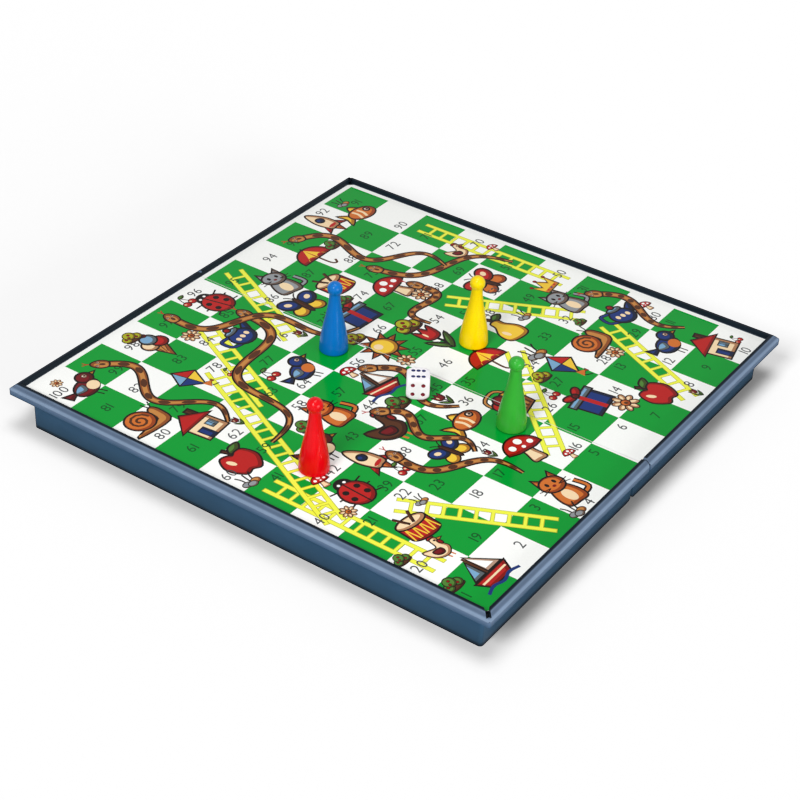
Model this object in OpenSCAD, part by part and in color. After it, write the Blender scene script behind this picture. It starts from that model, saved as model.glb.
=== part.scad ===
// Folding magnetic snakes and ladders board, open on a table, with four pawns and a die.
// The fold runs along Y through the origin. The reader's side is -Y. The rims of the walls lie on Z = 0.

/* [Board] */
// Side of one square of the game
cell = 24; // [20:0.5:30]
// Squares along each side of the board
squares = 10; // [8:2:12]
// White border of the print outside the squares
print_margin = 1.8; // [0.8:0.1:3]
// Thickness of the printed film
print_t = 0.3; // [0.2:0.05:0.6]
// Thickness of the steel sheet under the film
steel_t = 0.5; // [0.3:0.05:0.8]
// Clearance of both sheets inside the lip
sheet_gap = 0.15; // [0.1:0.05:0.4]
// Cut across one corner of each sheet, beside the slot in the lip
sheet_corner_cut = 2.4; // [1:0.1:4]

/* [Case] */
// Height of the open board from its rim to the top of its lip
case_h = 23.5; // [19:0.1:30]
// Width of the lip seen from above
lip_band = 4; // [3.4:0.1:6]
// Height of the lip above the print
lip_rise = 2.6; // [1:0.1:3.2]
// Chamfer along the outer top edge of the lip
lip_bevel = 2.5; // [1:0.1:2.8]
// Radius that softens the edges of the lip
lip_soft = 0.5; // [0.2:0.1:0.6]
// Reach of the lip beyond the walls
lip_overhang = 7; // [4:0.5:9]
// Rounding of the lip at its corners, seen from above
lip_corner_r = 1.2; // [0.5:0.1:2.5]
// Rounding of the walls at their corners
wall_corner_r = 1.6; // [0.6:0.1:2]
// Thickness of the walls
wall_t = 2; // [1.6:0.1:2.6]
// Thickness of the deck that carries the sheets
deck_t = 1.8; // [1.2:0.1:2.4]
// Width of the slot across the lip at one corner of each half
corner_slot_w = 2; // [1.2:0.1:3]
// Length of that slot along the diagonal of the corner
corner_slot_l = 3.6; // [2:0.1:4]

/* [Ribs under the deck] */
// Ribs across each half
cross_ribs = 5; // [2:1:8]
// Ribs along each half
long_ribs = 2; // [1:1:4]
// Thickness of a rib
rib_t = 1.2; // [0.8:0.1:2]
// Depth of a rib below the deck
rib_h = 2.2; // [1.5:0.1:3]

/* [Fold] */
// Gap between the two halves, open or closed
fold_gap = 0.3; // [0.25:0.05:0.6]
// Distance of each hinge pivot from the fold
pivot_x = 3; // [2.9:0.1:5]
// Chamfer of the lip's ends and the end walls at the fold
seam_chamfer = 0.8; // [0.2:0.1:1]
// Thickness of the wall along the fold
spine_t = 2; // [1.6:0.1:2.6]
// Thickness of a hinge link
link_t = 3; // [2:0.1:4]
// Height of the narrow middle of a hinge link
link_waist = 4; // [3:0.1:5]
// Clearance of a link beside the wall and the ear, and above the table
link_gap = 0.3; // [0.3:0.05:0.5]
// Thickness of the ear that carries the inner end of a pin
ear_t = 2; // [1.6:0.1:3]
// Length of the ear away from the fold
ear_l = 13; // [12:0.5:20]
// Diameter of a hinge pin
pin_d = 2; // [1.6:0.1:2.4]
// Diameter of the head of a hinge pin
pin_head_d = 3.6; // [3:0.1:4]
// Thickness of the head of a hinge pin
pin_head_t = 0.8; // [0.6:0.1:1.2]
// Clearance round the head of a hinge pin
pin_head_gap = 0.2; // [0.1:0.05:0.3]
// Depth of a pin's seat in the end wall
pin_seat = 1.2; // [0.8:0.1:1.4]
// Clearance round a pin where it is fixed
pin_fix_gap = 0.02; // [0.01:0.01:0.05]
// Clearance round a pin where a link turns on it
pin_run_gap = 0.05; // [0.03:0.01:0.1]

/* [Pawns] */
// Height of a pawn
pawn_h = 36; // [28:0.5:45]
// Diameter of a pawn's foot
pawn_foot_d = 13.4; // [12.5:0.1:17]
// Diameter of a pawn's head
pawn_head_d = 7; // [6:0.1:9]
// Diameter of a pawn's neck
pawn_neck_d = 5; // [4:0.1:5.6]
// Height of the upright band at a pawn's foot
pawn_foot_h = 1; // [0.5:0.1:2]
// Chamfer at the bottom of a pawn's foot
pawn_foot_chamfer = 0.6; // [0.3:0.1:1]
// Diameter of a pawn's magnet
magnet_d = 9; // [7:0.1:10]
// Thickness of a pawn's magnet
magnet_t = 2.5; // [1.5:0.1:3.5]
// Clearance round and above a magnet
magnet_gap = 0.05; // [0.02:0.01:0.15]
// Height of a magnet above the bottom of the foot
magnet_recess = 0.3; // [0.1:0.1:0.6]

/* [Die] */
// Side of the die
die_side = 10.5; // [8:0.5:14]
// Diameter across the rounded corners of the die
die_corner_d = 15.6; // [15:0.1:16.4]
// Diameter of a pip
pip_d = 1.9; // [1.2:0.1:2.1]
// Depth of a pip
pip_depth = 0.4; // [0.2:0.1:0.6]
// Turn of the die on the board, in degrees
die_turn = -56; // [-90:1:90]

/* [Hidden] */
$fn = 64;
overrun = 1;
soft_steps = 5;

board_w = squares * cell;
case_w = board_w + 2 * (print_margin + lip_band);
reach = case_w / 2;
fold_edge = fold_gap / 2;
print_z = case_h - lip_rise;
steel_z = print_z - print_t - steel_t;
deck_z = steel_z - deck_t;
window = reach - lip_band;
wall_reach = reach - lip_overhang;
wall_inner = wall_reach - wall_t;
spine_inner = fold_edge + spine_t;

roll_r = pivot_x - fold_edge;
pivot_z = roll_r;
link_r = pivot_z - link_gap;
link_y = wall_inner - link_gap - link_t;
ear_y = link_y - link_gap - ear_t;
pin_end = wall_inner + pin_seat;
pin_l = pin_end - ear_y;
pin_path = pin_l + pin_head_t + pin_head_gap;

pawn_neck_r = pawn_neck_d / 2;
pawn_head_r = pawn_head_d / 2;
pawn_foot_r = pawn_foot_d / 2;
pawn_head_z = pawn_h - pawn_head_r;
pawn_neck_z = pawn_head_z - sqrt(pow(pawn_head_r, 2) - pow(pawn_neck_r, 2));
// Steps of a pawn's flank, and how far it swings from a straight cone to a bell
flank_steps = 12;
flank_share = 0.8;
pip_r = (pow(pip_d / 2, 2) + pow(pip_depth, 2)) / (2 * pip_depth);

// Places of the pieces on the board, as shares of its width
red_shares = [-0.372, -0.061];
blue_shares = [-0.047, 0.139];
yellow_shares = [0.138, -0.059];
green_shares = [-0.050, -0.264];
die_shares = [-0.069, -0.071];
// Spacing of the pips from the middle of a face, as a share of the side
pip_share = 0.22;
// Pips of each face, in steps of that spacing
one_pips = [[0, 0]];
two_pips = [[-1, -1], [1, 1]];
four_pips = [[-1, -1], [1, 1], [-1, 1], [1, -1]];
three_pips = concat(one_pips, two_pips);
five_pips = concat(one_pips, four_pips);
six_pips = concat(four_pips, [[0, -1], [0, 1]]);
// Turn that brings each face to the top, with its pips
die_faces = [
    [[0, 0, 0], six_pips],
    [[180, 0, 0], one_pips],
    [[90, 0, 0], four_pips],
    [[-90, 0, 0], three_pips],
    [[0, 90, 0], two_pips],
    [[0, -90, 0], five_pips]
];

case_colour = [0.2, 0.3, 0.4];
steel_colour = [0.7, 0.71, 0.72];
print_colour = [0.2, 0.65, 0.3];
link_colour = [0.13, 0.17, 0.22];
magnet_colour = [0.25, 0.25, 0.26];
red_colour = [0.87, 0.02, 0.07];
blue_colour = [0.01, 0.42, 0.72];
yellow_colour = [0.96, 0.84, 0.02];
green_colour = [0.2, 0.65, 0.2];
die_colour = [0.95, 0.95, 0.97];

// Points that round the corner b of the path a, b, c, starting and ending at the length cut from it
function soft_corner(a, b, c, cut) =
    let (start = b + cut * (a - b) / norm(a - b), end = b + cut * (c - b) / norm(c - b))
    [for (i = [0 : soft_steps]) let (s = i / soft_steps)
        pow(1 - s, 2) * start + 2 * s * (1 - s) * b + pow(s, 2) * end];

// Section of the plate that carries the lip, from the middle line out to the lip's edge
function lip_section() =
    let (
        low = [reach, deck_z],
        side = [reach, case_h - lip_bevel],
        top = [reach - lip_bevel, case_h],
        under_middle = [0, deck_z],
        top_middle = [0, case_h]
    )
    concat(
        [under_middle],
        soft_corner(under_middle, low, side, lip_soft),
        soft_corner(low, side, top, lip_soft),
        soft_corner(side, top, top_middle, lip_soft),
        [top_middle]
    );

// Outline of the left half out to a distance from the middle, with its two outer corners rounded
module half_outline(out, corner_r) {
    translate([corner_r - out, -out])
        square([out - corner_r - fold_edge, 2 * out]);
    translate([-out, corner_r - out])
        square([2 * corner_r, 2 * (out - corner_r)]);
    for (side = [-1, 1])
        translate([corner_r - out, side * (out - corner_r)])
            circle(corner_r);
}

// Plate with the lip's mitred bevel: the section along both directions, inside the rounded outline
module lip_plate() {
    intersection() {
        rotate([90, 0, 0])
            linear_extrude(height = case_w, center = true)
                mirror([1, 0])
                    polygon(lip_section());
        rotate([90, 0, 90])
            linear_extrude(height = case_w, center = true)
                for (side = [0, 1])
                    mirror([side, 0])
                        polygon(lip_section());
        translate([0, 0, deck_z])
            linear_extrude(height = case_h - deck_z)
                half_outline(reach, lip_corner_r);
    }
}

// Walls on three sides and the spine along the fold
module walls() {
    difference() {
        linear_extrude(height = deck_z + deck_t)
            half_outline(wall_reach, wall_corner_r);
        translate([-wall_inner, -wall_inner, -overrun])
            cube([wall_inner - spine_inner, 2 * wall_inner, deck_z + overrun]);
    }
}

// Stiffening ribs below the deck
module ribs() {
    bay_w = wall_inner - spine_inner;
    for (i = [1 : cross_ribs])
        translate([-wall_inner, i * 2 * wall_inner / (cross_ribs + 1) - wall_inner - rib_t / 2, deck_z - rib_h])
            cube([bay_w, rib_t, rib_h + deck_t / 2]);
    for (i = [1 : long_ribs])
        translate([i * bay_w / (long_ribs + 1) - wall_inner - rib_t / 2, -wall_inner, deck_z - rib_h])
            cube([rib_t, 2 * wall_inner, rib_h + deck_t / 2]);
}

// Ears beside the end walls that carry the inner ends of the pins
module ears() {
    for (side = [0, 1])
        mirror([0, side, 0])
            translate([-ear_l - fold_edge, ear_y, 0])
                cube([ear_l, ear_t, deck_z + deck_t / 2]);
}

// What is cut away below the pivots, so that the two spines roll round each other
module roll_cut() {
    difference() {
        translate([-pivot_x, -reach, -overrun])
            cube([pivot_x + overrun, case_w, pivot_z + overrun]);
        translate([-pivot_x, 0, pivot_z])
            rotate([90, 0, 0])
                cylinder(r = roll_r, h = case_w + 2 * overrun, center = true);
    }
}

// Passage of a link through the spine, the bores for its pin in the ear and the end wall,
// and the groove beside the spine in which the pin and its head are pushed home
module hinge_cuts() {
    passage = link_t + 2 * link_gap;
    for (side = [0, 1])
        mirror([0, side, 0]) {
            translate([-spine_inner - overrun, link_y - link_gap, -overrun])
                cube([spine_inner + 2 * overrun, passage, overrun + pivot_z + link_r + link_gap]);
            translate([-pivot_x, ear_y - overrun, pivot_z])
                rotate([-90, 0, 0])
                    cylinder(d = pin_d + 2 * pin_fix_gap, h = pin_l + overrun + pin_fix_gap);
            translate([-pivot_x, ear_y - pin_path, pivot_z])
                rotate([-90, 0, 0])
                    cylinder(d = pin_head_d + 2 * pin_head_gap, h = pin_path);
        }
}

// Chamfers at the fold, which leave a groove across the lip and down the end walls
module seam_cuts() {
    groove = sqrt(2) * (seam_chamfer + fold_edge);
    for (side = [-1, 1]) {
        translate([0, side * (window + lip_band / 2), case_h])
            rotate([0, 45, 0])
                cube([groove, lip_band + 2 * overrun, groove], center = true);
        translate([0, side * reach, (deck_z + case_h) / 2])
            rotate([0, 0, 45])
                cube([groove, groove, case_h - deck_z + 2 * overrun], center = true);
        translate([0, side * wall_reach, deck_z / 2])
            rotate([0, 0, 45])
                cube([groove, groove, deck_z + 2 * overrun], center = true);
    }
}

// Slot across the lip at one corner
module corner_slot() {
    translate([-window, -window, steel_z])
        rotate([0, 0, -135])
            translate([-overrun, -corner_slot_w / 2, 0])
                cube([corner_slot_l + overrun, corner_slot_w, case_h - steel_z + overrun]);
}

module half_tray() {
    difference() {
        union() {
            lip_plate();
            walls();
            ribs();
            ears();
        }
        translate([-window, -window, steel_z])
            cube([window + overrun, 2 * window, case_h - steel_z + overrun]);
        roll_cut();
        hinge_cuts();
        seam_cuts();
        corner_slot();
    }
}

// Sheet of one half, with the corner at the slot cut off
module half_sheet(bottom, thickness) {
    side = window - sheet_gap;
    translate([0, 0, bottom])
        linear_extrude(height = thickness)
            polygon([
                [-side, sheet_corner_cut - side],
                [sheet_corner_cut - side, -side],
                [-fold_edge, -side],
                [-fold_edge, side],
                [-side, side]
            ]);
}

module hinge_link() {
    rotate([-90, 0, 0])
        difference() {
            union() {
                for (side = [-1, 1])
                    translate([side * pivot_x, 0, 0])
                        cylinder(r = link_r, h = link_t);
                translate([-pivot_x, -link_waist / 2, 0])
                    cube([2 * pivot_x, link_waist, link_t]);
            }
            for (side = [-1, 1])
                translate([side * pivot_x, 0, -overrun])
                    cylinder(d = pin_d + 2 * pin_run_gap, h = link_t + 2 * overrun);
        }
}

module hinge_pin() {
    rotate([-90, 0, 0]) {
        cylinder(d = pin_d, h = pin_l);
        translate([0, 0, -pin_head_t])
            cylinder(d = pin_head_d, h = pin_head_t);
    }
}

// Flank of a pawn from the top of its foot to its neck: a cone that swells below and hollows above
function pawn_flank() =
    let (foot_z = pawn_foot_chamfer + pawn_foot_h)
    [for (i = [0 : flank_steps])
        let (
            t = i / flank_steps,
            fullness = (1 - flank_share) * (1 - t) + flank_share * (1 + cos(180 * t)) / 2
        )
        [pawn_neck_r + (pawn_foot_r - pawn_neck_r) * fullness, foot_z + (pawn_neck_z - foot_z) * t]];

module pawn() {
    difference() {
        union() {
            rotate_extrude()
                polygon(concat(
                    [
                        [0, 0],
                        [pawn_foot_r - pawn_foot_chamfer, 0],
                        [pawn_foot_r, pawn_foot_chamfer]
                    ],
                    pawn_flank(),
                    [
                        [pawn_neck_r, pawn_head_z],
                        [0, pawn_head_z]
                    ]
                ));
            translate([0, 0, pawn_head_z])
                sphere(pawn_head_r);
        }
        translate([0, 0, -overrun])
            cylinder(d = magnet_d + 2 * magnet_gap, h = overrun + magnet_recess + magnet_t + magnet_gap);
    }
}

module pawn_magnet() {
    translate([0, 0, magnet_recess])
        cylinder(d = magnet_d, h = magnet_t);
}

module die_pips(pips) {
    for (place = pips)
        translate([
            place[0] * pip_share * die_side,
            place[1] * pip_share * die_side,
            die_side / 2 + pip_r - pip_depth
        ])
            sphere(pip_r);
}

module die_body() {
    difference() {
        intersection() {
            cube(die_side, center = true);
            sphere(d = die_corner_d);
        }
        for (face = die_faces)
            rotate(face[0])
                die_pips(face[1]);
    }
}

// Puts a piece on the print at a place given as shares of the board's width
module on_board(shares) {
    translate([shares[0] * board_w, shares[1] * board_w, print_z])
        children();
}

module left_tray() { color(case_colour) half_tray(); }
module right_tray() { color(case_colour) rotate([0, 0, 180]) half_tray(); }
module left_steel_sheet() { color(steel_colour) half_sheet(steel_z, steel_t); }
module right_steel_sheet() { color(steel_colour) rotate([0, 0, 180]) half_sheet(steel_z, steel_t); }
module left_print_sheet() { color(print_colour) half_sheet(steel_z + steel_t, print_t); }
module right_print_sheet() { color(print_colour) rotate([0, 0, 180]) half_sheet(steel_z + steel_t, print_t); }
module rear_hinge_link() { color(link_colour) translate([0, link_y, pivot_z]) hinge_link(); }
module front_hinge_link() { color(link_colour) mirror([0, 1, 0]) translate([0, link_y, pivot_z]) hinge_link(); }
module rear_left_pin() { color(steel_colour) translate([-pivot_x, ear_y, pivot_z]) hinge_pin(); }
module rear_right_pin() { color(steel_colour) translate([pivot_x, ear_y, pivot_z]) hinge_pin(); }
module front_left_pin() { color(steel_colour) mirror([0, 1, 0]) translate([-pivot_x, ear_y, pivot_z]) hinge_pin(); }
module front_right_pin() { color(steel_colour) mirror([0, 1, 0]) translate([pivot_x, ear_y, pivot_z]) hinge_pin(); }
module red_pawn() { color(red_colour) on_board(red_shares) pawn(); }
module blue_pawn() { color(blue_colour) on_board(blue_shares) pawn(); }
module yellow_pawn() { color(yellow_colour) on_board(yellow_shares) pawn(); }
module green_pawn() { color(green_colour) on_board(green_shares) pawn(); }
module red_pawn_magnet() { color(magnet_colour) on_board(red_shares) pawn_magnet(); }
module blue_pawn_magnet() { color(magnet_colour) on_board(blue_shares) pawn_magnet(); }
module yellow_pawn_magnet() { color(magnet_colour) on_board(yellow_shares) pawn_magnet(); }
module green_pawn_magnet() { color(magnet_colour) on_board(green_shares) pawn_magnet(); }
module die() { color(die_colour) on_board(die_shares) translate([0, 0, die_side / 2]) rotate(die_turn) die_body(); }

left_tray();
right_tray();
left_steel_sheet();
right_steel_sheet();
left_print_sheet();
right_print_sheet();
front_hinge_link();
rear_hinge_link();
front_left_pin();
front_right_pin();
rear_left_pin();
rear_right_pin();
red_pawn();
blue_pawn();
yellow_pawn();
green_pawn();
red_pawn_magnet();
blue_pawn_magnet();
yellow_pawn_magnet();
green_pawn_magnet();
die();
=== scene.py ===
"""Looks of a folding snakes and ladders board: its print, case, hinge, pawns and die."""

import math

import bmesh
import bpy
import numpy as np
from mathutils import Euler, Matrix, Vector
from mathutils.geometry import delaunay_2d_cdt


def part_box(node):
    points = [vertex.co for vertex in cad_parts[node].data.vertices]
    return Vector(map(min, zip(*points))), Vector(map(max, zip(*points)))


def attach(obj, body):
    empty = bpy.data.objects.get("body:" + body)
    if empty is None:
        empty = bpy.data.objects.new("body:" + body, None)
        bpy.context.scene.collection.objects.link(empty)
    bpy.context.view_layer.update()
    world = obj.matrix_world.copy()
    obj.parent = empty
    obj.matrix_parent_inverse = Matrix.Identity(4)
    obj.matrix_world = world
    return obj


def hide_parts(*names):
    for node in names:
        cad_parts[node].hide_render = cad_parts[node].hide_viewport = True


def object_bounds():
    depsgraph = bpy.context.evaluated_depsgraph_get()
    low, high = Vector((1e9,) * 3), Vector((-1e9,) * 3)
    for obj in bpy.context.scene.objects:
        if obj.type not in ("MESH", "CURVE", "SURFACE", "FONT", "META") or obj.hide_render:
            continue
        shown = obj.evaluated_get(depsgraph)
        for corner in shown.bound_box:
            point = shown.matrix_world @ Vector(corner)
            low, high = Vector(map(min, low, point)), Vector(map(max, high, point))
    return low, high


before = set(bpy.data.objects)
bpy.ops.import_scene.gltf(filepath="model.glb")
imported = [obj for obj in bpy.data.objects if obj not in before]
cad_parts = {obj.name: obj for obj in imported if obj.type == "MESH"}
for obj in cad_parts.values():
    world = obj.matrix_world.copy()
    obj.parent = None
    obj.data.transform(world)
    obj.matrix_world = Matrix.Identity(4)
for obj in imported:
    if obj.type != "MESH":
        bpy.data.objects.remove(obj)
cad_low, cad_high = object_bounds()

MM = 0.001

# Board, in metres, from the two printed sheets of the frame. Its squares lie toward the near corner.
SQUARES = 10
MARGIN = 1.4 * MM
PRINT_SHIFT = Vector((-1.25, -1.25)) * MM
CORNER_CUT = 2.4 * MM
SHEET_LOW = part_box("left_print_sheet")[0]
SHEET_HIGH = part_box("right_print_sheet")[1]
CELL = (SHEET_HIGH.x - SHEET_LOW.x - 2 * MARGIN) / SQUARES
PRINT_ORIGIN = SHEET_LOW.xy + Vector((MARGIN, MARGIN)) + PRINT_SHIFT
# Shares of the film's map: its top, and the start and length of what its edge and underside take
TOP_SHARE = 0.98
REST_START = 0.985
REST_SHARE = 0.015

# Ink of the print, as 8 bit screen colours
INKS = {
    "white": (252, 253, 250), "green": (0, 153, 50), "number": (70, 72, 74),
    "green_number": (4, 84, 32), "lime": (240, 243, 74), "olive": (172, 172, 30),
    "line": (24, 16, 14), "tan": (196, 132, 66), "brown": (84, 46, 24),
    "red": (184, 30, 28), "crimson": (116, 18, 24), "blue": (26, 52, 118),
    "sky": (122, 168, 204), "yellow": (242, 200, 60), "orange": (208, 112, 44),
    "cream": (246, 218, 176), "grey": (146, 150, 154), "leaf": (78, 128, 50),
}
# Shares of red, green and blue that are left in the shaded side of an ink
SHADE = (0.72, 0.58, 0.5)
INKS |= {f"shaded_{ink}": [c * s for c, s in zip(colour, SHADE)] for ink, colour in INKS.items()}
SHADE_DEPTH = 0.035
SHADE_SHIFT = Vector((-0.6, 0.6)) * SHADE_DEPTH
LINE = 0.036
TIP_HOLD = 0.5
OVERLAP = 1e-6

# Pawn: its half section, the cuts that round its corners, and its colours
PAWN_HEAD_R = 3.5 * MM
PAWN_NECK_R = 2.5 * MM
PAWN_BAND = 1.0 * MM
PAWN_TOE = 0.6 * MM
FLANK_STEPS = 12
FLANK_SHARE = 0.8
HEAD_START = 0.8
HEAD_STEPS = 24
MAGNET_BORE_R = 4.55 * MM
MAGNET_BORE_H = 2.85 * MM
PAWN_CUTS = [cut * MM for cut in [0.1, 0.15, 0.2, 0.3, 0.45] + [0.6] * (FLANK_STEPS - 1) + [0.35]]
PAWN_SIDES = 96
PAWN_SHARP = math.radians(40)
PAWN_COLOURS = {"red": (222, 0, 14), "blue": (0, 108, 190), "yellow": (246, 212, 0), "green": (50, 165, 50)}

# Die
DIE_TURN = math.radians(-56)
DIE_BALL_SHARE = 0.743
DIE_EDGE_POWER = 30
DIE_GRID = 18
DIE_SHARP = math.radians(35)
DIE_WELD = 1e-5
PIP_R = 0.95 * MM
PIP_DEPTH = 0.4 * MM
PIP_SHARE = 0.22
PIP_SIDES = 24
PIP_RINGS = (1.0, 0.94, 0.7, 0.4)
PIP_CLEAR = 1.25
RED_COUNTS = (1, 4)

# Tones of the mouldings, as 8 bit screen colours by height as a share of the case's: of upright faces,
# and of those that look up. Painted light: a painted highlight on the upper part of the lip's outer face,
# painted shade on its inner faces and its flat top, and painted highlights along the arrises of its bevel.
# Upright faces are also darker towards their foot.
CASE_H = 23.5 * MM
CASE_UPRIGHT_WITH_PAINTED_LIGHT = [
    (0.0, (30, 48, 62)), (0.05, (33, 52, 67)), (0.08, (45, 71, 92)), (0.6, (49, 83, 112)),
    (0.78, (54, 83, 112)), (0.885, (90, 110, 136)), (0.912, (20, 32, 42)),
]
CASE_SLOPING_PAINTED_LIGHT = [
    (0.8, (52, 83, 112)), (0.82, (12, 22, 32)), (0.876, (12, 22, 32)), (0.886, (119, 138, 162)),
    (0.922, (119, 138, 162)), (0.946, (84, 100, 122)), (0.97, (84, 100, 122)), (0.984, (95, 112, 134)),
    (0.992, (95, 112, 134)), (0.998, (12, 22, 32)),
]
LINK_UPRIGHT = [(0.0, (34, 44, 56)), (1.0, (38, 48, 60))]
LINK_SLOPING = [(0.0, (44, 54, 68)), (1.0, (30, 40, 52))]
LOOKS_UP = (0.1, 0.4)
# Reach of the painted shade that darkens corners and crevices
PAINTED_SHADE_REACH = 2.5 * MM
SOFT_EDGE = 0.35 * MM
GRAIN_DEPTH = 0.02 * MM

# Strength of the gloss of each surface
CASE_GLOSS = 0.05
PLASTIC_GLOSS = 0.18
FILM_GLOSS = 0.08

# Camera, as fitted to the photograph
CAMERA_PLACE = Vector((-0.59263, -0.38923, 0.49406))
CAMERA_FORWARD = Vector((0.68442, 0.45303, -0.57126))
CAMERA_RIGHT = Vector((0.57417, -0.81779, 0.03937))
CAMERA_LENS = 84.41

# Light and floor
AMBIENT = 0.15
WHITE = (1, 1, 1, 1)
FLOOR_HALF = 3
FLOOR_PARTS = 8
FLOOR_TONE = (0.9, 0.9, 0.9, 1)
LAMPS = {
    "overhead": (Vector((-0.12, -0.07, 1.45)), (0.7, 0.7), 8.7),
    "left": (Vector((-1.1, -0.12, 0.95)), (0.4, 0.6), 11.6),
    "right": (Vector((-0.3, -1.2, 0.25)), (0.7, 0.3), 7.2),
}


def linear(colour):
    """A screen colour of 8 bits a channel as linear light, with alpha."""
    shares = [channel / 255 for channel in colour]
    return [s / 12.92 if s <= 0.04045 else ((s + 0.055) / 1.055) ** 2.4 for s in shares] + [1.0]


# Shapes of the print. A shape is an ink, its points and its faces, in squares of the board.


def shape(ink, points):
    """One outline filled with ink, its points put in anticlockwise order."""
    points = [Vector(p) for p in points]
    pairs = zip(points, points[1:] + points[:1])
    if sum(a.x * b.y - b.x * a.y for a, b in pairs) < 0:
        points.reverse()
    return ink, points, [list(range(len(points)))]


def grown(points, by):
    """An anticlockwise outline moved outward by a distance, with its sharp tips held back."""
    spread = []
    for before, here, after in zip(points[-1:] + points[:-1], points, points[1:] + points[:1]):
        first = (here - before).normalized()
        second = (after - here).normalized()
        side = Vector((first.y, -first.x))
        out = (side + Vector((second.y, -second.x))).normalized()
        spread.append(here + out * by / max(TIP_HOLD, out.dot(side)))
    return spread


def inked(ink, points, line=LINE):
    """A filled outline with a dark contour round it and a shaded lower side."""
    _, around, _ = shape(ink, points)
    lit = [point + SHADE_SHIFT for point in grown(around, -SHADE_DEPTH)]
    return [shape("line", grown(around, line)), shape(f"shaded_{ink}", around), shape(ink, lit)]


def moved(shapes, place=(0, 0), size=1.0, turn=0.0):
    """Shapes scaled, turned by degrees and put at a place."""
    turned = Matrix.Rotation(math.radians(turn), 2) * size
    return [(ink, [turned @ p + Vector(place) for p in points], faces) for ink, points, faces in shapes]


def ellipse(x, y, wide, high=None, turn=0.0, start=0.0, end=360.0, steps=20):
    """Points of an ellipse, or of the stretch of it between two angles, by half width and half height."""
    high = high or wide
    whole = end - start == 360
    count = steps if whole else steps + 1
    angles = [math.radians(start + (end - start) * i / steps) for i in range(count)]
    c, s = math.cos(math.radians(turn)), math.sin(math.radians(turn))
    ring = [(wide * math.cos(a), high * math.sin(a)) for a in angles]
    return [(x + c * p - s * q, y + s * p + c * q) for p, q in ring]


def mirrored(points):
    """The right side of an outline, from the bottom up, with its left side."""
    return points + [(-x, y) for x, y in reversed(points) if x]


def spline(points, closed=True, steps=4):
    """A smooth curve through given points."""
    points = [Vector(p) for p in points]
    count = len(points)
    ring = points[-1:] + points + points[:2] if closed else points[:1] + points + points[-1:]
    curve = []
    for i in range(count if closed else count - 1):
        a, b, c, d = ring[i:i + 4]
        for k in range(steps):
            t = k / steps
            bend = 2 * b + (c - a) * t + (2 * a - 5 * b + 4 * c - d) * t**2 + (3 * b - a - 3 * c + d) * t**3
            curve.append(bend / 2)
    return curve if closed else curve + points[-1:]


def ribbon(points, half_widths):
    """Outline of a stroke along points, with the half width at each."""
    points = [Vector(p) for p in points]
    left, right = [], []
    ahead = points[1:] + points[-1:]
    behind = points[:1] + points[:-1]
    for here, before, after, half in zip(points, behind, ahead, half_widths):
        along = (after - before).normalized()
        side = Vector((-along.y, along.x)) * half
        left.append(here + side)
        right.append(here - side)
    return right + left[::-1]


def stroke(points, width=0.03):
    """Outline of a stroke of even width along a smooth path."""
    path = spline(points, closed=False)
    return ribbon(path, [width / 2] * len(path))


def edged_stroke(ink, points, wide, narrow):
    """A stroke of ink with a dark contour."""
    return [shape("line", stroke(points, wide)), shape(ink, stroke(points, narrow))]


def bar(start, end, width):
    return ribbon([start, end], [width / 2] * 2)


def oblong(left, low, right, high):
    return [(left, low), (right, low), (right, high), (left, high)]


def rod(ink, start, end, width):
    """A plain bar of ink."""
    return shape(ink, bar(start, end, width))


def dot(ink, *oval, **more):
    """A plain ellipse of ink."""
    return shape(ink, ellipse(*oval, **more))


def disc(ink, *oval, line=LINE, **more):
    """An ellipse of ink with a contour and a shaded side."""
    return inked(ink, ellipse(*oval, **more), line)


# Motifs, each in a square from -0.5 to 0.5 with its top at +Y


def apple():
    body = spline(mirrored([(0, -0.32), (0.17, -0.36), (0.34, -0.08), (0.25, 0.2), (0.1, 0.22), (0, 0.16)]))
    shine = ellipse(-0.16, 0.02, 0.05, 0.1, 25)
    leaf = spline([(0.02, 0.24), (0.1, 0.38), (0.3, 0.4), (0.2, 0.26)])
    shapes = inked("brown", stroke([(0, 0.14), (0.01, 0.26), (-0.05, 0.38)], 0.05)) + inked("leaf", leaf)
    return shapes + inked("red", body) + [shape("cream", shine)]


def pear():
    body = spline(mirrored([(0, -0.4), (0.24, -0.34), (0.26, -0.1), (0.12, 0.12), (0.1, 0.26), (0, 0.3)]))
    leaf = spline([(0.02, 0.32), (0.14, 0.44), (0.28, 0.4), (0.16, 0.3)])
    shapes = inked("brown", stroke([(0, 0.26), (0, 0.36), (-0.05, 0.44)], 0.05)) + inked("leaf", leaf)
    return shapes + inked("yellow", body) + [dot("cream", -0.12, -0.14, 0.05, 0.1, 15)]


def cherries():
    shapes = inked("leaf", spline([(0.02, 0.34), (0.16, 0.44), (0.36, 0.36), (0.2, 0.26)]))
    for x, y in [(-0.19, -0.2), (0.17, -0.24)]:
        shapes += [shape("line", stroke([(x, y), (x * 0.6, 0.1), (0.02, 0.36)], 0.045))]
        shapes += disc("red", x, y, 0.17)
        shapes += [dot("cream", x - 0.06, y + 0.06, 0.04, 0.06, 30)]
    return shapes


def tulip(ink="red"):
    cup = spline(mirrored([(0, -0.02), (0.17, 0.06), (0.19, 0.38), (0.08, 0.26), (0, 0.42)]), steps=3)
    shapes = [shape("line", stroke([(0, 0), (0.02, -0.2), (0, -0.44)], 0.07))]
    for side in (-1, 1):
        leaf = spline([(0, -0.42), (side * 0.16, -0.26), (side * 0.26, 0), (side * 0.06, -0.2)])
        shapes += inked("leaf", leaf)
    return shapes + inked(ink, cup) + [dot("cream", -0.08, 0.18, 0.025, 0.08)]


def daisy():
    shapes = []
    for i in range(8):
        petal = ellipse(0.25, 0, 0.15, 0.085, steps=14)
        shapes += moved(inked("cream", petal), turn=45 * i)
    return shapes + disc("orange", 0, 0, 0.13) + [dot("brown", 0, -0.01, 0.06)]


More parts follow.
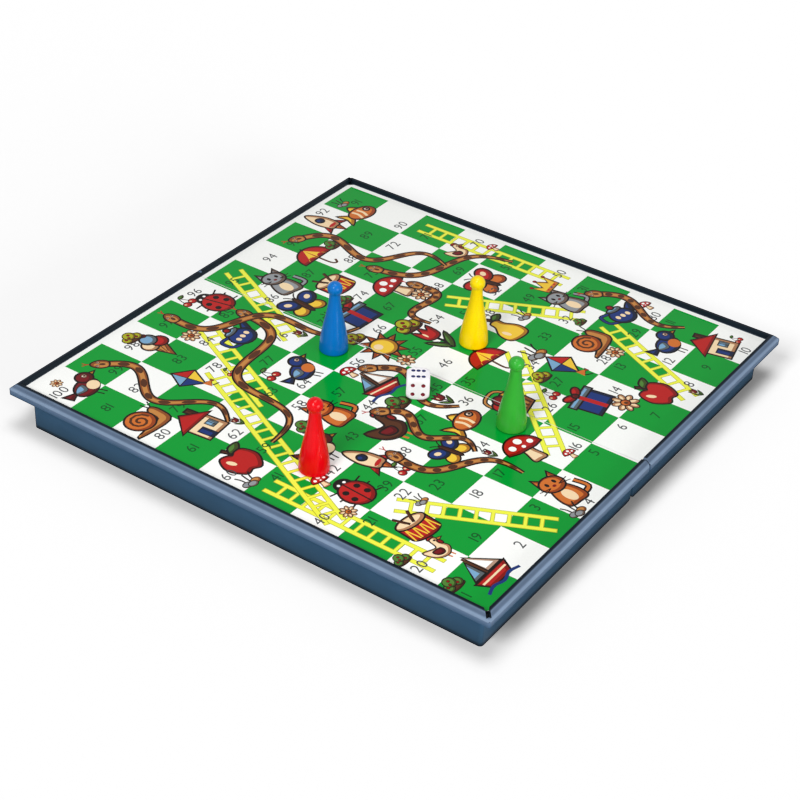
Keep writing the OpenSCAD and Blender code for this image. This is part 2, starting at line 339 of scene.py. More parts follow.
def toadstool():
    stem = spline(mirrored([(0, -0.4), (0.14, -0.38), (0.1, -0.15), (0.08, 0.06)]))
    cap = ellipse(0, 0, 0.38, 0.36, 0, 0, 180) + [(-0.2, -0.05), (0.2, -0.05)]
    spots = [(-0.19, 0.12, 0.07), (0.03, 0.22, 0.08), (0.22, 0.1, 0.06), (0.02, 0.05, 0.04)]
    return inked("cream", stem) + inked("red", cap) + [dot("white", *spot) for spot in spots]


def butterfly(upper="blue", lower="yellow"):
    shapes = []
    for side in (-1, 1):
        shapes += disc(lower, side * 0.19, -0.15, 0.17, 0.14, side * -35)
        shapes += disc(upper, side * 0.23, 0.15, 0.22, 0.16, side * 35)
        shapes += [dot("cream", side * 0.25, 0.17, 0.08, 0.06, side * 35)]
        shapes += [shape("line", stroke([(0, 0.2), (side * 0.06, 0.34), (side * 0.14, 0.42)]))]
    return shapes + disc("brown", 0, 0, 0.045, 0.27)


def ladybird():
    legs = [(x, y) for x in (-0.38, 0.38) for y in (-0.2, 0, 0.17)]
    shapes = [rod("line", (x * 0.4, y), (x, y * 1.3), 0.035) for x, y in legs]
    shapes += disc("line", 0, 0.26, 0.15, 0.13) + disc("red", 0, -0.04, 0.29, 0.31)
    shapes += [rod("line", (0, -0.35), (0, 0.26), 0.03)]
    spots = [(-0.14, 0.08), (0.14, 0.08), (-0.16, -0.13), (0.16, -0.13)]
    shapes += [dot("line", x, y, 0.06) for x, y in spots]
    return shapes + [dot("white", x, 0.3, 0.03) for x in (-0.07, 0.07)]


def fish():
    tail = spline([(-0.2, 0), (-0.42, 0.22), (-0.36, 0), (-0.42, -0.22)], steps=3)
    fin = spline([(-0.08, 0.15), (0, 0.34), (0.16, 0.16)], steps=3)
    shapes = inked("yellow", tail) + inked("yellow", fin) + disc("orange", 0.07, 0, 0.32, 0.2)
    shapes += [shape("cream", stroke([(x, 0.15), (x + 0.04, 0), (x, -0.15)], 0.06)) for x in (-0.08, 0.06)]
    return shapes + disc("white", 0.25, 0.06, 0.05) + [dot("line", 0.265, 0.06, 0.025)]


def boat():
    hull = [(-0.36, -0.12), (0.4, -0.12), (0.26, -0.34), (-0.24, -0.34)]
    shapes = [rod("brown", (0, -0.14), (0, 0.42), 0.05)]
    shapes += inked("white", [(0.05, -0.06), (0.36, -0.06), (0.05, 0.4)])
    shapes += inked("sky", [(-0.05, -0.06), (-0.05, 0.3), (-0.3, -0.06)])
    shapes += inked("red", hull) + [rod("cream", (-0.3, -0.2), (0.33, -0.2), 0.04)]
    wave = [(-0.44, -0.4), (-0.22, -0.34), (0, -0.4), (0.22, -0.34), (0.44, -0.4)]
    return shapes + [shape("blue", stroke(wave, 0.06))]


def kite():
    corners = [(0, 0.44), (0.28, 0.12), (0, -0.24), (-0.28, 0.12)]
    shapes = [shape("line", stroke([(0, -0.22), (0.1, -0.32), (0, -0.4), (0.14, -0.48)]))]
    shapes += inked("red", corners)
    for ink, a, b in zip(["red", "yellow", "blue", "sky"], corners, corners[1:] + corners[:1]):
        shapes += [shape(ink, [(0, 0.12), a, b])]
    shapes += [rod("line", a, b, 0.02) for a, b in zip(corners, corners[2:])]
    return shapes + inked("orange", [(0.02, -0.3), (0.17, -0.36), (0.17, -0.28), (0.02, -0.38)], 0.012)


def sun():
    shapes = []
    for i in range(10):
        shapes += moved(inked("orange", [(0.24, -0.07), (0.44, 0), (0.24, 0.07)]), turn=36 * i)
    shapes += disc("yellow", 0, 0, 0.25, steps=26)
    return shapes + [dot("cream", -0.07, 0.08, 0.09)]


def umbrella():
    shapes = [shape("brown", stroke([(0, 0.1), (0, -0.3), (0.08, -0.4), (0.16, -0.3)], 0.05))]
    shapes += disc("red", 0, 0, 0.4, 0.4, 0, 0, 180)
    shapes += [shape("yellow", [(0, 0.38)] + ellipse(x, 0, 0.11, 0.1, 0, 180, 0, 6)) for x in (-0.13, 0.13)]
    return shapes + [rod("line", (0, 0.38), (0, 0.47), 0.04)]


def house():
    shapes = inked("brown", bar((0.2, 0.1), (0.2, 0.42), 0.1))
    shapes += inked("cream", oblong(-0.28, -0.4, 0.28, 0.08))
    shapes += inked("red", [(-0.4, 0.06), (0.4, 0.06), (0, 0.42)])
    shapes += inked("blue", oblong(-0.2, -0.4, -0.04, -0.1), 0.014)
    shapes += inked("sky", oblong(0.06, -0.24, 0.22, -0.06), 0.014)
    return shapes + [rod("line", (0.14, -0.24), (0.14, -0.06), 0.02)]


def drum():
    side = ellipse(0, -0.22, 0.32, 0.12, 0, 180, 360) + ellipse(0, 0.14, 0.32, 0.12, 0, 0, 180)
    shapes = inked("red", side)
    for x in (-0.24, -0.08, 0.08, 0.24):
        shapes += [rod("yellow", (x + lean, -0.28), (x, 0.06), 0.03) for lean in (-0.06, 0.06)]
    shapes += disc("cream", 0, 0.14, 0.32, 0.12)
    for turn in (-25, 25):
        shapes += moved(inked("brown", bar((0, 0.12), (0, 0.42), 0.035), 0.014), turn=turn)
    return shapes


def ice_cream():
    shapes = inked("tan", [(-0.17, 0), (0, -0.44), (0.17, 0)])
    shapes += [rod("brown", (x, -0.02), (x * 0.3 - 0.04, -0.28), 0.018) for x in (-0.08, 0.02, 0.12)]
    for x, y, ink in [(-0.11, 0.08, "cream"), (0.12, 0.08, "red"), (0, 0.25, "sky")]:
        shapes += disc(ink, x, y, 0.15)
    return shapes + disc("crimson", 0.02, 0.41, 0.055, line=0.014)


def gift():
    shapes = inked("blue", oblong(-0.32, -0.38, 0.32, 0.08))
    shapes += inked("sky", oblong(-0.37, 0.08, 0.37, 0.2))
    shapes += [rod("red", (0, -0.38), (0, 0.2), 0.11)]
    for side in (-1, 1):
        shapes += disc("red", side * 0.13, 0.29, 0.13, 0.07, side * 25)
    return shapes + disc("crimson", 0, 0.24, 0.05)


def bird(ink="blue", breast="orange"):
    tail = [(-0.22, 0), (-0.46, 0.12), (-0.44, -0.06)]
    shapes = [rod("line", (x, -0.2), (x + 0.03, -0.42), 0.03) for x in (-0.04, 0.06)]
    shapes += inked(ink, tail) + inked("yellow", [(0.36, 0.2), (0.48, 0.14), (0.36, 0.1)])
    shapes += disc(ink, 0, -0.04, 0.28, 0.2, 12) + disc(ink, 0.23, 0.17, 0.15)
    shapes += [dot(breast, 0.13, -0.09, 0.14, 0.12, 30)]
    shapes += inked("sky", spline([(0.02, 0.06), (-0.12, 0.08), (-0.26, -0.02), (-0.06, -0.1)]), 0.014)
    shapes += disc("white", 0.27, 0.2, 0.045, line=0.012)
    return shapes + [dot("line", 0.28, 0.2, 0.022)]


def snail():
    foot = [(-0.42, -0.34), (0.3, -0.34), (0.4, -0.02)]
    body = spline(foot + [(0.34, 0.16), (0.22, 0.08), (0.2, -0.18), (-0.1, -0.24)])
    shapes = [rod("line", (0.32, 0.12), (x, 0.34), 0.03) for x in (0.26, 0.42)]
    shapes += inked("tan", body) + disc("orange", -0.07, 0, 0.27, 0.26, steps=26)
    turns = [(0.21 - 0.0105 * t, 0.62 * t) for t in range(18)]
    coil = [(r * math.cos(a) - 0.07, r * math.sin(a)) for r, a in turns]
    return shapes + [shape("brown", ribbon(coil, [0.025] * len(coil)))]


def crown():
    band = mirrored([(0.34, -0.3), (0.4, 0.24), (0.18, -0.02), (0, 0.32)])
    shapes = inked("yellow", band) + [rod("orange", (-0.33, -0.22), (0.33, -0.22), 0.09)]
    shapes += [dot(ink, x, -0.22, 0.04) for x, ink in [(-0.2, "red"), (0, "blue"), (0.2, "red")]]
    tips = [(-0.4, 0.27), (0, 0.36), (0.4, 0.27)]
    return shapes + [part for x, y in tips for part in disc("red", x, y, 0.055, line=0.016)]


def teapot():
    spout = spline([(0.2, -0.16), (0.34, 0), (0.46, 0.2), (0.38, 0.2), (0.22, 0.06)], steps=3)
    handle = [(-0.2, 0.14), (-0.42, 0.16), (-0.44, -0.1), (-0.22, -0.2)]
    shapes = edged_stroke("blue", handle, 0.1, 0.055) + inked("blue", spout)
    shapes += disc("blue", 0, -0.06, 0.28, 0.25) + disc("sky", 0, 0.2, 0.17, 0.06)
    shapes += disc("red", 0, 0.3, 0.055)
    return shapes + [dot("cream", x, -0.06, 0.05, 0.06) for x in (-0.14, 0, 0.14)]


def rocket():
    body = spline(mirrored([(0, -0.26), (0.13, -0.24), (0.17, 0.06), (0.09, 0.34), (0, 0.46)]))
    flame = [(-0.09, -0.24), (0, -0.48), (0.09, -0.24)]
    shapes = inked("orange", flame)
    for side in (-1, 1):
        shapes += inked("red", [(side * 0.12, -0.02), (side * 0.3, -0.32), (side * 0.1, -0.24)])
    shapes += inked("cream", body) + disc("blue", 0, 0.12, 0.075)
    return shapes + [dot("red", 0, -0.18, 0.12, 0.04)]


def cat(ink="orange"):
    shapes = edged_stroke(ink, [(0.2, -0.34), (0.42, -0.26), (0.36, 0.02)], 0.13, 0.06)
    shapes += inked(ink, spline(mirrored([(0, -0.42), (0.22, -0.4), (0.24, -0.16), (0.12, 0.1)])))
    shapes += [dot("cream", 0, -0.2, 0.11, 0.17)]
    for side in (-1, 1):
        shapes += inked(ink, [(side * 0.06, 0.3), (side * 0.2, 0.46), (side * 0.24, 0.2)])
    shapes += disc(ink, 0, 0.18, 0.24, 0.19)
    shapes += [dot("line", x, 0.22, 0.035, 0.05) for x in (-0.09, 0.09)]
    whiskers = [(x, y) for x in (-0.34, 0.34) for y in (0.16, 0.06)]
    shapes += [rod("line", (x * 0.3, 0.12), (x, y), 0.02) for x, y in whiskers]
    return shapes + [dot("crimson", 0, 0.13, 0.04, 0.03)]


def hen(ink="cream"):
    belly = [(-0.4, 0.2), (-0.3, -0.18), (0.02, -0.32), (0.28, -0.14)]
    body = spline(belly + [(0.24, 0.12), (0.3, 0.34), (0.12, 0.36), (0, 0.06)])
    shapes = [rod("orange", (x, -0.28), (x + 0.03, -0.46), 0.05) for x in (-0.06, 0.08)]
    shapes += disc("red", 0.2, 0.4, 0.1, 0.07)
    shapes += inked("yellow", [(0.28, 0.32), (0.44, 0.24), (0.28, 0.2)])
    shapes += inked(ink, body) + disc("red", 0.28, 0.14, 0.04, 0.08)
    shapes += inked("crimson", spline([(-0.2, 0.02), (0.06, -0.02), (0.02, -0.18), (-0.16, -0.14)]))
    return shapes + [dot("line", 0.21, 0.28, 0.035)]


def basket():
    shapes = edged_stroke("tan", [(-0.3, 0), (-0.2, 0.36), (0.2, 0.36), (0.3, 0)], 0.1, 0.04)
    for x, y, ink in [(-0.16, 0.06, "red"), (0.16, 0.06, "yellow"), (0, 0.12, "crimson")]:
        shapes += disc(ink, x, y, 0.15)
    shapes += inked("tan", [(-0.4, 0.02), (0.4, 0.02), (0.28, -0.4), (-0.28, -0.4)])
    shapes += [rod("brown", (x, 0), (x * 0.7, -0.38), 0.05) for x in (-0.3, -0.15, 0, 0.15, 0.3)]
    return shapes + [rod("line", (-0.36, y), (0.36, y), 0.025) for y in (-0.08, -0.2)]


# Trifles that fill small gaps


def bush(ink="leaf"):
    shapes = disc("brown", 0, -0.3, 0.4, 0.1)
    for x, y, r in [(-0.24, -0.12, 0.19), (0.24, -0.12, 0.19), (0, 0.06, 0.24)]:
        shapes += disc(ink, x, y, r)
    dots = [(-0.26, -0.08), (0.2, -0.16), (0.02, 0.12), (-0.08, -0.04)]
    return shapes + [part for spot in dots for part in disc("red", *spot, 0.05, line=0.02)]


def stones():
    blades = [[(x, -0.1), (x * 1.3, 0.18), (x * 2, 0.4)] for x in (-0.16, 0.02, 0.18)]
    shapes = [shape("line", stroke(blade, 0.07)) for blade in blades]
    for x, y, ink in [(-0.2, -0.2, "grey"), (0.22, -0.18, "tan"), (0.02, -0.28, "grey")]:
        shapes += disc(ink, x, y, 0.2, 0.14)
    return shapes


# Motifs and trifles in the order that they are dealt out
MOTIFS = [
    boat(), cat(), apple(), house(), bird(), gift(), toadstool(), hen(), drum(), butterfly(), basket(),
    kite(), snail(), teapot(), cat("grey"), umbrella(), fish(), rocket(), ladybird(), ice_cream(),
    bird("crimson", "cream"), hen("brown"), pear(), crown(), butterfly("red", "orange"), tulip(), sun(),
]
TRIFLES = [bush(), stones(), tulip("crimson"), cherries(), bush("olive"), daisy(), toadstool()]
TURNS = [0, -8, 6, 12, -4, 9, -12]

# Squares that hold only their number, unless a ladder or a snake passes
PLAIN_SQUARES = [2, 6, 18, 46, 72, 82, 90, 94]
# Green squares that hold a motif as well
GREEN_PICTURES = [1, 27, 39, 55, 75, 91]
MOTIF_REACH = 0.4
MOTIF_LARGEST = 1.04
MOTIF_SMALLEST = 0.55
TRIFLE_LARGEST = 0.66
TRIFLE_SMALLEST = 0.3
PASSING_SHARE = 0.5
EDGE_ROOM = 0.06
NUMBER_ROOM = 0.15
ROOM_GAIN = 0.04
PICTURE_STEPS = [-0.36, -0.24, -0.12, 0, 0.12, 0.24, 0.36]
NUMBER_STEPS = [-0.32, 0, 0.32]

# Squares joined by a ladder, from its foot to its top
LADDERS = [(3, 22), (8, 29), (16, 34), (20, 41), (32, 53), (40, 78), (50, 71), (63, 84), (76, 95)]
LADDER_W = 0.4
RAIL_W = 0.08
RUNG_W = 0.055
RUNG_STEP = 0.26
LADDER_LINE = LINE / 3

# Squares joined by a snake, from its head to its tail, with its waves and its first swing
SNAKES = [
    (31, 11, 1, 0.24), (38, 17, 1, -0.26), (44, 24, 1.5, 0.2), (56, 36, 1, 0.3), (68, 54, 1, 0.32),
    (73, 51, 1, -0.3), (85, 59, 1.5, 0.4), (97, 66, 1.5, -0.3), (99, 62, 1.5, 0.3), (93, 69, 1.5, 0.32),
]
SNAKE_STEPS = 60
SNAKE_HALF = 0.075
SNAKE_BACK = 0.6
SNAKE_TAPER = 0.8
SNAKE_HEAD_SIZE = 0.9
# Bands on a snake's back: their half widths as shares of its own, and the steps that they start at
SNAKE_LENS = [0.25, 0.75, 0.9, 0.75, 0.25]
SNAKE_BANDS = range(4, SNAKE_STEPS - 6, len(SNAKE_LENS) + 2)

NUMBER_SIZE = 0.3
NUMBER_GAP = 0.03
NUMBER_REACH = 0.18
DIGIT_STEPS = 3


def centre(square):
    """Middle of a numbered square: the rows run to and fro from the near left corner."""
    row, step = divmod(square - 1, SQUARES)
    column = step if row % 2 == 0 else SQUARES - 1 - step
    return Vector((column + 0.5, row + 0.5))


def is_green(square):
    place = centre(square)
    return (int(place.x) + int(place.y)) % 2 == 0


def checks():
    """The green squares."""
    shapes = []
    for square in range(1, SQUARES**2 + 1):
        if is_green(square):
            shapes += moved([shape("green", oblong(-0.5, -0.5, 0.5, 0.5))], centre(square))
    return shapes


def ladder(foot, top):
    """Two rails with rungs between them, all with a thin contour."""
    start, end = centre(foot), centre(top)
    along = (end - start).normalized()
    across = Vector((-along.y, along.x)) * (LADDER_W - RAIL_W) / 2
    tip = along * RUNG_STEP
    bars = [bar(start - tip + s * across, end + tip + s * across, RAIL_W) for s in (-1, 1)]
    rungs = int((end - start).length / RUNG_STEP)
    for i in range(rungs + 1):
        middle = start.lerp(end, i / rungs)
        bars.append(bar(middle - across, middle + across, RUNG_W))
    filled = [shape("lime", points) for points in bars]
    return [shape("olive", grown(points, LADDER_LINE)) for _, points, _ in filled] + filled


def snake_path(head, tail, waves, swing):
    """Points of a snake's winding back, from its head to its tail."""
    start, end = centre(head), centre(tail)
    way = end - start
    across = Vector((-way.y, way.x)).normalized()
    shares = [i / SNAKE_STEPS for i in range(SNAKE_STEPS + 1)]
    return [start + way * t + across * swing * math.sin(2 * math.pi * waves * t) for t in shares]


def snake(head, tail, waves, swing):
    """A banded snake that winds from its head to its tail."""
    path = snake_path(head, tail, waves, swing)
    halves = [SNAKE_HALF * (1 - SNAKE_TAPER * (i / SNAKE_STEPS) ** 3) for i in range(SNAKE_STEPS + 1)]
    shapes = [shape("line", ribbon(path, [half + LINE for half in halves]))]
    shapes += [shape("shaded_tan", ribbon(path, halves))]
    shapes += [shape("tan", ribbon(path, [half * SNAKE_BACK for half in halves]))]
    for i in SNAKE_BANDS:
        band = [half * share for half, share in zip(halves[i:], SNAKE_LENS)]
        shapes += [shape("brown", ribbon(path[i:i + len(band)], band))]
    facing = path[0] - path[2]
    turn = math.degrees(math.atan2(facing.y, facing.x))
    return shapes + moved(snake_head(), path[0], SNAKE_HEAD_SIZE, turn)


def snake_head():
    """Head looking along +X, with its neck at the origin."""
    jaw = [(-0.1, -0.08), (0.06, -0.13), (0.2, -0.08), (0.26, 0)]
    skull = spline(jaw + [(x, -y) for x, y in reversed(jaw[:-1])])
    shapes = [rod("red", (0.22, 0), (0.36, 0), 0.03)]
    shapes += [rod("red", (0.35, 0), (0.44, y), 0.025) for y in (-0.05, 0.05)]
    shapes += inked("tan", skull)
    shapes += [dot("brown", 0.02, 0, 0.07, 0.04)]
    for y in (-0.065, 0.065):
        shapes += disc("white", 0.12, y, 0.035, steps=12, line=0.01)
        shapes += [dot("line", 0.13, y, 0.016, steps=10)]
    return shapes


def put_in_scene(name, data):
    made = bpy.data.objects.new(name, data)
    bpy.context.scene.collection.objects.link(made)
    return made


def digit_glyphs():
    """Points, faces, width and height of each digit, with its lower left corner at the origin."""
    glyphs = []
    for digit in range(10):
        curve = bpy.data.curves.new("digit", "FONT")
        curve.body = str(digit)
        curve.resolution_u = DIGIT_STEPS
        holder = put_in_scene("digit", curve)
        mesh = holder.evaluated_get(bpy.context.evaluated_depsgraph_get()).to_mesh()
        points = [v.co.xy.copy() for v in mesh.vertices]
        faces = [list(p.vertices) for p in mesh.polygons]
        bpy.data.objects.remove(holder)
        bpy.data.curves.remove(curve)
        left = min(p.x for p in points)
        low = min(p.y for p in points)
        points = [p - Vector((left, low)) for p in points]
        glyphs.append((points, faces, max(p.x for p in points), max(p.y for p in points)))
    return glyphs


def number(square, place, glyphs):
    """The number of a square, with its middle at a place."""
    ink = "green_number" if is_green(square) else "number"
    shapes = []
    pen = 0
    for digit in str(square):
        points, faces, width, high = glyphs[int(digit)]
        shapes.append((ink, [p + Vector((pen, -high / 2)) for p in points], faces))
        pen += width + NUMBER_GAP / NUMBER_SIZE
    half = (pen - NUMBER_GAP / NUMBER_SIZE) / 2
    room = 0.5 - NUMBER_ROOM - half * NUMBER_SIZE
    middle = centre(square).x
    place = Vector((min(max(place.x, middle - room), middle + room), place.y))
    return moved(moved(shapes, Vector((-half, 0))), place, NUMBER_SIZE)


def taken_spots():
    """Places and half widths along every ladder and snake, which other artwork keeps clear of."""
    taken = []
    for foot, top in LADDERS:
        steps = int((centre(top) - centre(foot)).length / RUNG_STEP)
        for i in range(-1, steps + 2):
            taken.append((centre(foot).lerp(centre(top), i / steps), PASSING_SHARE * LADDER_W / 2))
    for winding in SNAKES:
        taken += [(place, PASSING_SHARE * SNAKE_HALF) for place in snake_path(*winding)[::2]]
    return taken


def roomiest(square, steps, taken):
    """The place in a square farthest from what is taken, with the middle favoured, and its distance."""
    best, room = None, -SQUARES
    offsets = [Vector((x, y)) for x in steps for y in steps]
    for offset in sorted(offsets, key=lambda step: step.length):
        place = centre(square) + offset
        edge = min(*place, SQUARES - place.x, SQUARES - place.y) - EDGE_ROOM
        free = min(edge, *((place - spot).length - reach for spot, reach in taken))
        if free > room + ROOM_GAIN:
            best, room = place, free
    return best, room


def deal(squares, pieces, smallest, largest, taken):
    """Puts one piece after another into the free room of squares, and marks the room as taken."""
    shapes = []
    for i, square in enumerate(squares):
        place, room = roomiest(square, PICTURE_STEPS, taken)
        size = min(largest, room / MOTIF_REACH)
        if size > smallest:
            shapes += moved(pieces[i % len(pieces)], place, size, TURNS[i % len(TURNS)])
            taken.append((place, size * MOTIF_REACH))
    return shapes


def artwork():
    """Every shape of the print, the lowest first."""
    every = range(1, SQUARES**2 + 1)
    pictured = [s for s in every if s not in PLAIN_SQUARES and (not is_green(s) or s in GREEN_PICTURES)]
    taken = taken_spots()
    shapes = checks()
    for pair in LADDERS:
        shapes += ladder(*pair)
    shapes += deal(pictured, MOTIFS, MOTIF_SMALLEST, MOTIF_LARGEST, taken)
    glyphs = digit_glyphs()
    for square in every:
        place, _ = roomiest(square, NUMBER_STEPS, taken)
        shapes += number(square, place, glyphs)
        taken.append((place, NUMBER_REACH))
    shapes += deal(pictured, TRIFLES, TRIFLE_SMALLEST, TRIFLE_LARGEST, taken)
    for winding in SNAKES:
        shapes += snake(*winding)
    return shapes


# Meshes


def add_object(name, bm, material):
    """A new object from a mesh that is still being edited."""
    mesh = bpy.data.meshes.new(name)
    bm.to_mesh(mesh)
    bm.free()
    mesh.materials.append(material)
    return put_in_scene(name, mesh)


def inside(outline, spots):
    """Which spots lie inside an outline, by the sides that a ray from each crosses."""
    within = np.zeros(len(spots), bool)
    x, y = spots.T
    for a, b in zip(outline, outline[1:] + outline[:1]):
        if a.y != b.y:
            crosses = (a.y > y) != (b.y > y)
            within ^= crosses & (x < a.x + (y - a.y) * (b.x - a.x) / (b.y - a.y))
    return within


def cut_shapes(shapes, outline):
    """Cuts overlapping shapes inside an outline into triangles, each with the ink that lies on top."""
    sheet = shape("white", outline)
    left, right = min(p.x for p in outline), max(p.x for p in outline)
    near = [s for s in shapes if max(p.x for p in s[1]) > left and min(p.x for p in s[1]) < right]
    outlines, points, edges = [], [], []
    for ink, corners, faces in [sheet] + near:
        first = len(points)
        points += corners
        for face in faces:
            outlines.append((ink, [corners[i] for i in face]))
            edges += [(first + i, first + j) for i, j in zip(face, face[1:] + face[:1])]
    places, _, triangles, *_ = delaunay_2d_cdt(points, edges, [], 0, OVERLAP)
    spots = np.array([sum((places[i] for i in t), Vector((0, 0))) / 3 for t in triangles])
    inks = np.full(len(triangles), "", object)
    for ink, ring in outlines:
        low, high = np.min(ring, axis=0), np.max(ring, axis=0)
        around = np.flatnonzero(((spots > low) & (spots < high)).all(axis=1))
        inks[around[inside(ring, spots[around])]] = ink
    sheet_spots = inside(sheet[1], spots)
    return places, [(t, ink) for t, ink, kept in zip(triangles, inks, sheet_spots) if kept]


def sheet_outline(side, low, high):
    """Corners of a sheet in metres, with the one beside the slot in the lip cut off."""
    across, along = Vector((CORNER_CUT, 0)), Vector((0, CORNER_CUT))
    first, last = low.xy, high.xy
    lower, upper = Vector((last.x, first.y)), Vector((first.x, last.y))
    if side == "left":
        return [first + along, first + across, lower, last, upper]
    return [first, lower, last - along, last - across, upper]


def lay_ink(bm, colours, shapes, corners, height):
    """Lays the inked triangles of a sheet with these corners at a height."""
    places, kept = cut_shapes(shapes, [(corner - PRINT_ORIGIN) / CELL for corner in corners])
    verts = [bm.verts.new((*(PRINT_ORIGIN + p * CELL), height)) for p in places]
    for triangle, ink in kept:
        face = bm.faces.new([verts[i] for i in triangle])
        colour = linear(INKS[ink])
        for loop in face.loops:
            loop[colours] = colour
    bmesh.ops.delete(bm, geom=[v for v in bm.verts if not v.link_faces], context="VERTS")


def close_below(bm, height):
    """Gives an open top its edge and its underside, down to a height."""
    edge = bmesh.ops.extrude_edge_only(bm, edges=[e for e in bm.edges if e.is_boundary])
    for vert in edge["geom"]:
        if isinstance(vert, bmesh.types.BMVert):
            vert.co.z = height
    bmesh.ops.holes_fill(bm, edges=[e for e in bm.edges if e.is_boundary], sides=0)
    bmesh.ops.recalc_face_normals(bm, faces=bm.faces)


def print_sheet(side, shapes, material):
    """One half of the printed film: its inked top, its thin edge and its plain underside."""
    node = f"{side}_print_sheet"
    low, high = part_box(node)
    bm = bmesh.new()
    colours = bm.loops.layers.float_color.new("ink")
    bake_map = bm.loops.layers.uv.new("OFBake")
    lay_ink(bm, colours, shapes, sheet_outline(side, low, high), high.z)
    inked_faces = set(bm.faces)
    close_below(bm, low.z)
    size = high - low
    for face in bm.faces:
        on_top = face in inked_faces
        for loop in face.loops:
            across = (loop.vert.co.x - low.x) / size.x
            along = (loop.vert.co.y - low.y) / size.y
            loop[bake_map].uv = (across, along * TOP_SHARE if on_top else REST_START + along * REST_SHARE)
            if not on_top:
                loop[colours] = linear(INKS["white"])
    sheet = add_object(f"{side}_printed_film", bm, material)
    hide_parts(node)
    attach(sheet, f"{side}_half")


def rounded(points, cut, steps=6):
    """A profile with its inner corners rounded, each cut back by its own length."""
    points = [Vector(p) for p in points]
    path = points[:1]
    for before, here, after, length in zip(points, points[1:], points[2:], cut):
        start = here + (before - here).normalized() * length
        end = here + (after - here).normalized() * length
        for i in range(steps + 1):
            t = i / steps
            path.append(start * (1 - t) ** 2 + here * 2 * t * (1 - t) + end * t**2)
    return path + points[-1:]


def lathe(profile, sides):
    """Solid of revolution about Z from a profile that starts and ends on the axis."""
    bm = bmesh.new()
    angles = [2 * math.pi * i / sides for i in range(sides)]
    turns = [(math.cos(a), math.sin(a)) for a in angles]
    rings = []
    for point in profile[1:-1]:
        rings.append([bm.verts.new((point.x * c, point.x * s, point.y)) for c, s in turns])
    for low, high in zip(rings, rings[1:]):
        for i in range(sides):
            j = (i + 1) % sides
            bm.faces.new((low[i], low[j], high[j], high[i]))
    for ring, end in ((rings[0], profile[0]), (rings[-1], profile[-1])):
        tip = bm.verts.new((0, 0, end.y))
        for i in range(sides):
            bm.faces.new((tip, ring[i], ring[(i + 1) % sides]))
    bmesh.ops.recalc_face_normals(bm, faces=bm.faces)
    for face in bm.faces:
        face.smooth = True
    return bm


def pawn_profile(foot_r, height):
    """Half section of a pawn: magnet bore, foot, flared flank, narrow neck and round head."""
    head_z = height - PAWN_HEAD_R
    neck_angle = math.acos(PAWN_NECK_R / PAWN_HEAD_R)
    neck_z = head_z - PAWN_HEAD_R * math.sin(neck_angle)
    flank_z = PAWN_TOE + PAWN_BAND
    lower = [
        (0, MAGNET_BORE_H), (MAGNET_BORE_R, MAGNET_BORE_H), (MAGNET_BORE_R, 0),
        (foot_r - PAWN_TOE, 0), (foot_r, PAWN_TOE), (foot_r, flank_z),
    ]
    for i in range(1, FLANK_STEPS + 1):
        t = i / FLANK_STEPS
        fullness = (1 - FLANK_SHARE) * (1 - t) + FLANK_SHARE * (1 + math.cos(math.pi * t)) / 2
        radius = PAWN_NECK_R + (foot_r - PAWN_NECK_R) * fullness
        lower.append((radius, flank_z + (neck_z - flank_z) * t))
    start = -neck_angle * HEAD_START
    sweep = math.pi / 2 - start
    angles = [start + sweep * i / HEAD_STEPS for i in range(HEAD_STEPS + 1)]
    head = [Vector((PAWN_HEAD_R * math.cos(a), head_z + PAWN_HEAD_R * math.sin(a))) for a in angles]
    return rounded(lower + head[:1], PAWN_CUTS) + head[1:]


def pawn(colour, material):
    """A pawn that stands where its solid does."""
    node = f"{colour}_pawn"
    low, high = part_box(node)
    middle = (low + high) / 2
    bm = lathe(pawn_profile((high.x - low.x) / 2, high.z - low.z), PAWN_SIDES)
    bmesh.ops.translate(bm, verts=bm.verts, vec=(middle.x, middle.y, low.z))
    piece = add_object(f"{colour}_turned_pawn", bm, material)
    piece.data.set_sharp_from_angle(angle=PAWN_SHARP)
    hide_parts(node)
    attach(piece, f"{colour}_piece")


# Pips of each face in steps from its middle, and the turn that brings the top face there
FOUR = [(-1, -1), (1, 1), (-1, 1), (1, -1)]
DIE_FACES = [
    ((0, 0, 0), FOUR + [(0, -1), (0, 1)]),
    ((180, 0, 0), [(0, 0)]),
    ((90, 0, 0), FOUR),
    ((-90, 0, 0), [(0, 0), (-1, -1), (1, 1)]),
    ((0, 90, 0), [(-1, -1), (1, 1)]),
    ((0, -90, 0), FOUR + [(0, 0)]),
]


def die_surface(u, v, half):
    """Point of the top face of the rounded die: a soft-edged cube that a ball trims at its corners."""
    ray = Vector((u, v, 1))
    cube = sum(abs(x) ** DIE_EDGE_POWER for x in ray) ** (1 / DIE_EDGE_POWER)
    ball = ray.length / (2 * DIE_BALL_SHARE)
    both = (cube**DIE_EDGE_POWER + ball**DIE_EDGE_POWER) ** (1 / DIE_EDGE_POWER)
    return ray * half / both


def die_face(pips, half):
    """Triangles of one face, on a grid with the rims of its pips cut in, and which of them lie in a pip."""
    grid = [math.tan(math.pi / 4 * (2 * i / DIE_GRID - 1)) for i in range(DIE_GRID + 1)]
    points = [Vector((u, v)) for u in grid for v in grid]
    spread = 2 * PIP_SHARE
    radius = PIP_R / half
    centres = [Vector(pip) * spread for pip in pips]
    points = [p for p in points if all((p - c).length > radius * PIP_CLEAR for c in centres)]
    faces = [[points.index(Vector(c)) for c in oblong(-1, -1, 1, 1)]]
    for c in centres:
        for share in PIP_RINGS:
            first = len(points)
            points += [Vector(p) for p in ellipse(c.x, c.y, radius * share, steps=PIP_SIDES)]
            faces.append(list(range(first, len(points))))
        points.append(c)
    places, _, triangles, _, _, owners = delaunay_2d_cdt(points, [], faces, 1, OVERLAP)
    return places, triangles, [max(over) > 0 for over in owners], centres, radius


